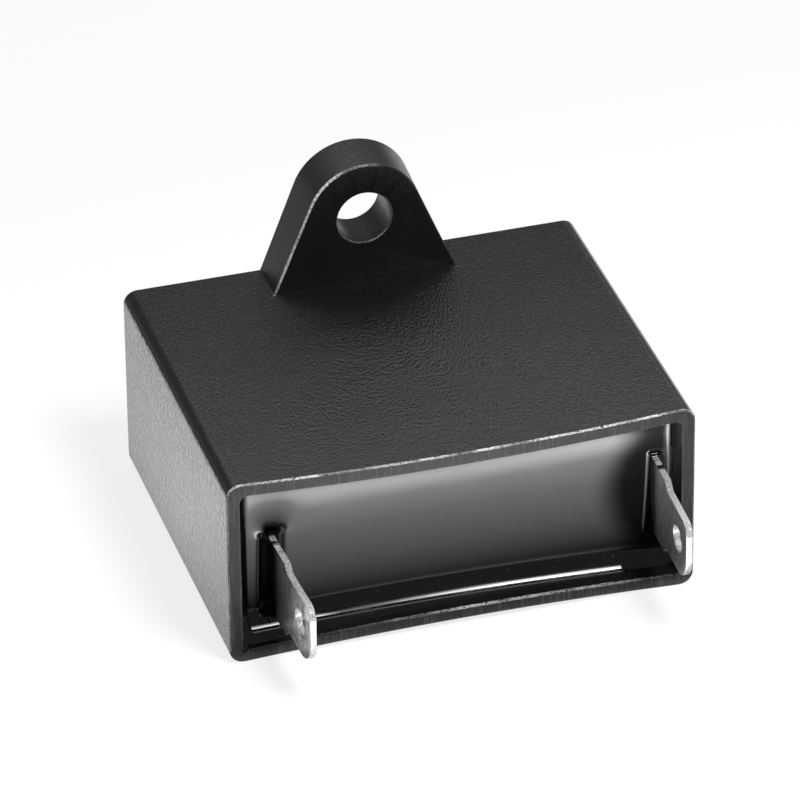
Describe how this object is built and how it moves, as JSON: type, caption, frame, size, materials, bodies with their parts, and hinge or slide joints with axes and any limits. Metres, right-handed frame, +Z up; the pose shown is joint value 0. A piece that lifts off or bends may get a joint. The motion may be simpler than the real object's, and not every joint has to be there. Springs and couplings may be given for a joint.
{
  "type": "motor run capacitor",
  "caption": "Flat box film capacitor that keeps a small motor running: a moulded case with a screw ear, a resin-filled mouth and flat blade terminals.",
  "frame": {"origin": "middle of the part's outline on the face that it lies on", "axes": "+X along the case from the left terminal to the right one, +Y from the open face to the closed face, +Z up out of the top face, the way the ear points"},
  "size_m": [0.034, 0.034, 0.0244],
  "materials": {
    "case_plastic": "black, fine spark-eroded grain",
    "resin": "black casting resin, mirror gloss",
    "film": "metallised film, satin",
    "sprayed_zinc": "sprayed metal, rough and dull",
    "solder": "smooth solder",
    "tinned_strip": "tin plated, dull with bright edges"
  },
  "bodies": {
    "root": {"case": "case_plastic", "potting_resin": "resin", "film_winding": "film", "end_spray_left": "sprayed_zinc", "end_spray_right": "sprayed_zinc", "solder_left": "solder", "solder_right": "solder", "terminal_left": "tinned_strip", "terminal_right": "tinned_strip"}
  },
  "joints": []
}
